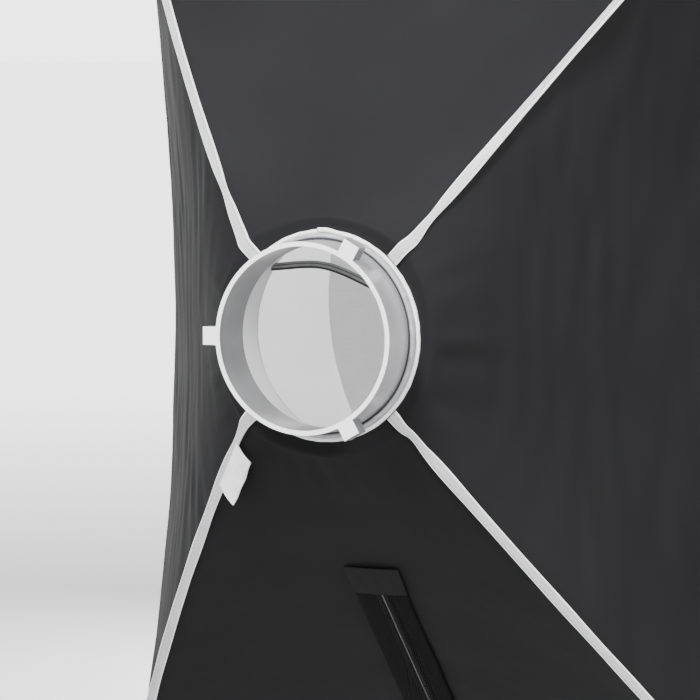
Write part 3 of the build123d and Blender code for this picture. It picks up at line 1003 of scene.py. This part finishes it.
def cover_outline(_):
    top = np.stack([cover_radii, cover_y], -1)
    return np.concatenate([top, top[::-1] + np.array([0, 0.0005])])


cover = turned("throat_cover_cloth", full_turn[::3], cover_outline)
dress(cover, "black_cloth", "hub", "throat_cover")


def lining_outline(angle):
    crease = 0.00025 * soft_wave(angle, 8, 8, 6, 26)
    depth = np.linspace(0.0063, 0.0358, 14)
    outer = np.stack([0.0570 + crease * np.sin(60 * depth), depth], -1)
    return np.concatenate([outer, outer[::-1] - np.array([0.0005, 0])])


lining = turned("throat_lining_cloth", full_turn[::2], lining_outline)
dress(lining, "silver_cloth", "hub", "throat_lining")

STRAP_POINTS = 90
STRAP_CROSSING = ((-0.0462, 0.0326), (-0.017, 0.034), (0.016, 0.0225), (0.053, 0.007))
strap_low, strap_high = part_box("inner_strap")
strap_y = (strap_low[1] + strap_high[1]) / 2
strap_path = smooth_path([(x, strap_y, z) for x, z in STRAP_CROSSING], STRAP_POINTS)
strap_turn = 0.35 + 0.5 * smoothstep(np.linspace(0, 1, STRAP_POINTS), 0.35, 0.9)
strap = ribbon(
    "inner_strap_tape", strap_path, (0, -1, 0), (0.0021, 0.0005), strap_turn, edge_bead=0.6
)
dress(strap, "grey_elastic", "hub", "inner_strap")


# ------------------------------------------------------------------ zip on the bottom panel

ZIP_OUT = unit(np.array([0, -1.0, -FLAT_SLOPE]))
ZIP_TOP = 0.0745
ZIP_BOTTOM = 0.3355
ZIP_FOLD = 0.0030


def zip_line(run):
    """Points of the bottom centre line at each run down from the ridge."""
    run = np.asarray(run, float)
    return np.stack([0 * run, RIDGE_DEPTH + FLAT_SLOPE * run, -RIDGE_RADIUS - run], -1)


def tape_section(inner, outer):
    """Half of the zip across: flat on the panel from outer, then folded over the coil to inner."""
    top = [(outer, 0.0015), (outer - 0.0003, 0.0021), (0.0080, 0.0017), (0.0040, 0.0016)]
    top += [(0.0029, 0.0025), (inner + 0.0008, ZIP_FOLD), (inner, ZIP_FOLD)]
    under = [(inner - 0.0002, 0.0026), (inner + 0.0008, 0.0026), (0.0028, 0.0020)]
    return np.array(top + under + [(0.0040, 0.0007), (outer - 0.0004, 0.0011)])


for side, sign, inner, outer in (("left", -1, 0.0003, 0.0166), ("right", 1, 0.0016, 0.0132)):
    runs = np.linspace(ZIP_TOP, ZIP_BOTTOM, 160)
    section = tape_section(inner, outer)
    pucker = 1 + 0.06 * folds(runs, 0 * runs, 0.020, 0, 1.0, 70 + sign)
    rings = (
        zip_line(runs)[:, None, :]
        + np.array([sign, 0, 0]) * section[None, :, 0, None]
        + ZIP_OUT * (section[None, :, 1] * pucker[:, None])[..., None]
    )
    uvs = np.stack(np.broadcast_arrays(section[None, :, 0], runs[:, None]), -1)
    tape = tube_skin("zip_tape_" + side + "_cloth", rings, uvs=uvs)
    dress(tape, "zip_tape", "zip_strip", "zip_tape_" + side)

# A thin light cord along the fold of the left zip tape: painted highlight where the fold catches the
# light.
fold_highlight_path = zip_line(np.linspace(ZIP_TOP, ZIP_BOTTOM, 120)) + ZIP_OUT * ZIP_FOLD
fold_highlight_path = fold_highlight_path + np.array([-0.0004, 0, 0])
fold_highlight = ribbon("zip_fold_highlight", fold_highlight_path, ZIP_OUT, (0.00026, 0.00024), count=8)
dress(fold_highlight, "zip_tape", "zip_strip", finish="painted_fold_highlight")

PATCH_LEFT = -0.0172
PATCH_RIGHT = 0.0142
PATCH_TOP = 0.0605
patch_u = np.linspace(PATCH_LEFT, PATCH_RIGHT, 26)[None, :]
patch_v = np.linspace(PATCH_TOP, ZIP_TOP, 16)[:, None]
patch_grid = zip_line(patch_v[:, 0])[:, None, :] + np.array([1, 0, 0]) * patch_u[..., None]
patch_bulge = 0.0013 + 0.0013 * np.linspace(0, 1, 16)[:, None] ** 0.7
patch_bulge = patch_bulge + 0.0005 * np.cos(patch_u / PATCH_LEFT * pi / 2)
patch_bulge = patch_bulge + 0.00015 * folds(patch_u, patch_v, 0.01, 0.6, 1.0, 81)
patch_grid = patch_grid + ZIP_OUT * patch_bulge[..., None]
patch_uvs = np.stack(np.broadcast_arrays(patch_u, patch_v), -1)
patch_normals = grid_normals(patch_grid, ZIP_OUT)
patch = cloth_sheet("zip_end_patch_cloth", patch_grid, patch_normals, patch_uvs, 0.0007)
dress(patch, "black_cloth", "zip_strip", "zip_end_patch")


# ------------------------------------------------------------------ diffuser

DIFFUSER_LOW, DIFFUSER_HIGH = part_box("diffuser_cloth")
HALF_X, HALF_Z = DIFFUSER_HIGH[0], DIFFUSER_HIGH[2]
LIP_INSET = 0.0047
MID_X = float(centre_reach("side", SECTION_FRONT)) - LIP_INSET
MID_Z = float(centre_reach("flat", SECTION_FRONT)) - LIP_INSET
BORDER_STEPS = 59
BORDER_INSET = (0.905, 0.942)
BORDER_HALF = 0.012
BORDER_PITCH = 0.0102


def diffuser_point(u, v):
    """X and Z at shares u, v of the panel, whose four edges bow inwards."""
    u, v = np.broadcast_arrays(u, v)
    width = MID_X + arc_rise(HALF_Z, HALF_X - MID_X, np.abs(v) * HALF_Z)
    height = MID_Z + arc_rise(HALF_X, HALF_Z - MID_Z, np.abs(u) * HALF_X)
    return u * width, v * height


def diffuser_sheet(name, node, u, v, rear, thickness, slot):
    x, z = diffuser_point(u, v)
    edge = np.maximum(np.abs(u), np.abs(v)) + 0 * x
    sag = 0.0006 * np.cos(edge * pi / 2)
    grid = np.stack([x, rear + 0 * x + sag * np.sin(9 * u + 4 * v), z], -1)
    normals = grid_normals(grid, np.array([0, -1.0, 0]))
    sheet = cloth_sheet(name, grid, normals, np.stack([x, z], -1), thickness)
    dress(sheet, slot, "diffuser", node)
    return sheet, grid


shares = np.linspace(-1, 1, 70)
diffuser, diffuser_grid = diffuser_sheet(
    "diffuser_cloth_sheet",
    "diffuser_cloth",
    shares[None, :],
    shares[:, None],
    DIFFUSER_LOW[1],
    0.0006,
    "white_cloth",
)

border_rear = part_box("diffuser_border")[0][1]
rising = np.linspace(-1, 1, BORDER_STEPS + 1)[:-1]
falling = np.linspace(1, -1, BORDER_STEPS + 1)[:-1]
ones = np.ones(BORDER_STEPS)
outline_u = np.concatenate([rising, ones, falling, -ones])
outline_v = np.concatenate([-ones, rising, ones, falling])
border_x, border_z = diffuser_point(outline_u, outline_v)
inset_x, inset_z = diffuser_point(outline_u * BORDER_INSET[0], outline_v * BORDER_INSET[1])
border_rings = []
for outer_x, outer_z, in_x, in_z in zip(border_x, border_z, inset_x, inset_z):
    outer_point, inner_point = np.array([outer_x, outer_z]), np.array([in_x, in_z])
    ring = []
    for share, y in ((0, 0.0), (0.5, -0.0001), (1, 0.0), (1, 0.0009), (0.5, 0.0012), (0, 0.0009)):
        x, z = outer_point + (inner_point - outer_point) * share
        ring.append((x, border_rear + y, z))
    border_rings.append(ring)
border_across = BORDER_HALF * np.array([-1, 0, 1, 1, 0, -1])[None, :]
border_along = BORDER_PITCH * np.arange(len(border_rings))[:, None]
border_uvs = np.stack(np.broadcast_arrays(border_across, border_along), -1)
border = tube_skin("diffuser_border_tape", border_rings, wrap=True, uvs=border_uvs)
dress(border, "white_tape", "diffuser", "diffuser_border")

PATCH_RADIUS = 0.160
patch_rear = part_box("diffuser_patch")[0][1]
radii = np.linspace(0.0005, PATCH_RADIUS, 24)[:, None]
turns = np.linspace(0, 2 * pi, 90)[None, :]
round_patch = np.stack(
    np.broadcast_arrays(radii * np.cos(turns), patch_rear + 0 * radii, radii * np.sin(turns)), -1
)
round_normals = np.broadcast_to(np.array([0, -1.0, 0]), round_patch.shape)
round_cloth = cloth_sheet(
    "diffuser_patch_cloth", round_patch, round_normals, round_patch[..., [0, 2]].copy(), 0.0005
)
dress(round_cloth, "white_cloth", "diffuser", "diffuser_patch")


# ------------------------------------------------------------------ finishes on the CAD pieces

CAD_FINISHES = {
    "bayonet_ring": "satin_aluminium",
    "hub_housing": "hub_plastic",
    "retaining_ring": "hub_plastic",
    "ring_screws": "steel",
    "hinge_pins": "steel",
    "zip_coil": "zip_coil",
    "zip_front_stop": "zip_metal",
    "zip_slider": "zip_metal",
    "zip_pull": "zip_metal",
}
for corner in CORNERS:
    CAD_FINISHES["rib_root_" + corner] = "tip_plastic"
    CAD_FINISHES["rib_rod_" + corner] = "spring_steel"
    CAD_FINISHES["rib_tip_" + corner] = "tip_plastic"
for name, finish in CAD_FINISHES.items():
    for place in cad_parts[name].material_slots:
        place.material = M[finish]


# ------------------------------------------------------------------ stage, light and camera

FLOOR_RADIUS = 60
FLOOR_SIDES = 64
floor_turn = np.linspace(0, 2 * pi, FLOOR_SIDES, endpoint=False)
floor_x, floor_y = FLOOR_RADIUS * np.cos(floor_turn), FLOOR_RADIUS * np.sin(floor_turn)
floor_z = np.full(FLOOR_SIDES, float(cad_box[0][2]) - 0.002)
floor_rim = np.stack([floor_x, floor_y, floor_z], -1)
floor = new_object("floor", floor_rim, [tuple(range(FLOOR_SIDES))])
floor.data.materials.append(M["stage"])
studio = M["stage"].node_tree
spot = add_node(studio, "ShaderNodeTexCoord").outputs["Object"]
reach = add_node(studio, "ShaderNodeVectorMath", {0: spot}, operation="LENGTH").outputs["Value"]
far_floor = {"Value": reach, "From Min": 1.6, "From Max": 5.5, "To Min": 0.0, "To Max": 3.0}
far_glow = add_node(studio, "ShaderNodeMapRange", far_floor).outputs[0]
surface = next(n for n in studio.nodes if n.type == "BSDF_PRINCIPLED")
studio.links.new(far_glow, surface.inputs["Emission Strength"])


def soft_light(name, place, towards, size, power, spread=180):
    lamp = bpy.data.lights.new(name, "AREA")
    lamp.shape = "RECTANGLE"
    lamp.size, lamp.size_y = size
    lamp.energy = power
    lamp.spread = radians(spread)
    made = bpy.data.objects.new(name, lamp)
    made.location = place
    made.rotation_euler = (Vector(towards) - Vector(place)).to_track_quat("-Z", "Y").to_euler()
    made.visible_camera = False
    bpy.context.scene.collection.objects.link(made)


soft_light("key_light", (-0.7, -2.7, 3.5), (0, 0, 0.3), (1.0, 1.0), 10.5, spread=20)
soft_light("side_light", (-3.4, -0.2, 0.6), (0, 0.1, 0), (0.9, 2.0), 8)
soft_light("rim_light", (-1.5, -3.1, 0.5), (0, 0, 0), (0.5, 0.5), 9)
soft_light("fill_light", (2.9, -2.6, 2.3), (0, 0, 0.2), (1.2, 1.2), 22, spread=50)
soft_light("front_light", (0.0, 2.2, 0.45), (0, 0.3, 0.1), (1.8, 1.3), 150)

world = bpy.data.worlds.new("studio")
world.use_nodes = True
sky = world.node_tree
backdrop = next(n for n in sky.nodes if n.type == "BACKGROUND")
way = add_node(sky, "ShaderNodeTexCoord").outputs["Generated"]
height = math_node(sky, "ABSOLUTE", add_node(sky, "ShaderNodeSeparateXYZ", {0: way}).outputs[2])
horizon = {"Value": height, "From Min": 0.015, "From Max": 0.16, "To Min": 3.6, "To Max": 0.26}
sky_glow = add_node(sky, "ShaderNodeMapRange", horizon).outputs[0]
sky.links.new(sky_glow, backdrop.inputs["Strength"])
backdrop.inputs["Color"].default_value = (1, 1, 1, 1)
bpy.context.scene.world = world

CAMERA_PLACE = Vector((1.1088, -2.2347, 0.1631))
CAMERA_YAW = radians(26.095)
CAMERA_PITCH = radians(3.908)
camera_data = bpy.data.cameras.new("camera")
camera_data.lens = 252.76
camera_data.sensor_width = 36
camera_data.clip_end = 200
camera_data.dof.use_dof = False
camera = bpy.data.objects.new("camera", camera_data)
camera.location = CAMERA_PLACE
camera.rotation_euler = (pi / 2 - CAMERA_PITCH, 0, CAMERA_YAW)
bpy.context.scene.collection.objects.link(camera)
bpy.context.scene.camera = camera
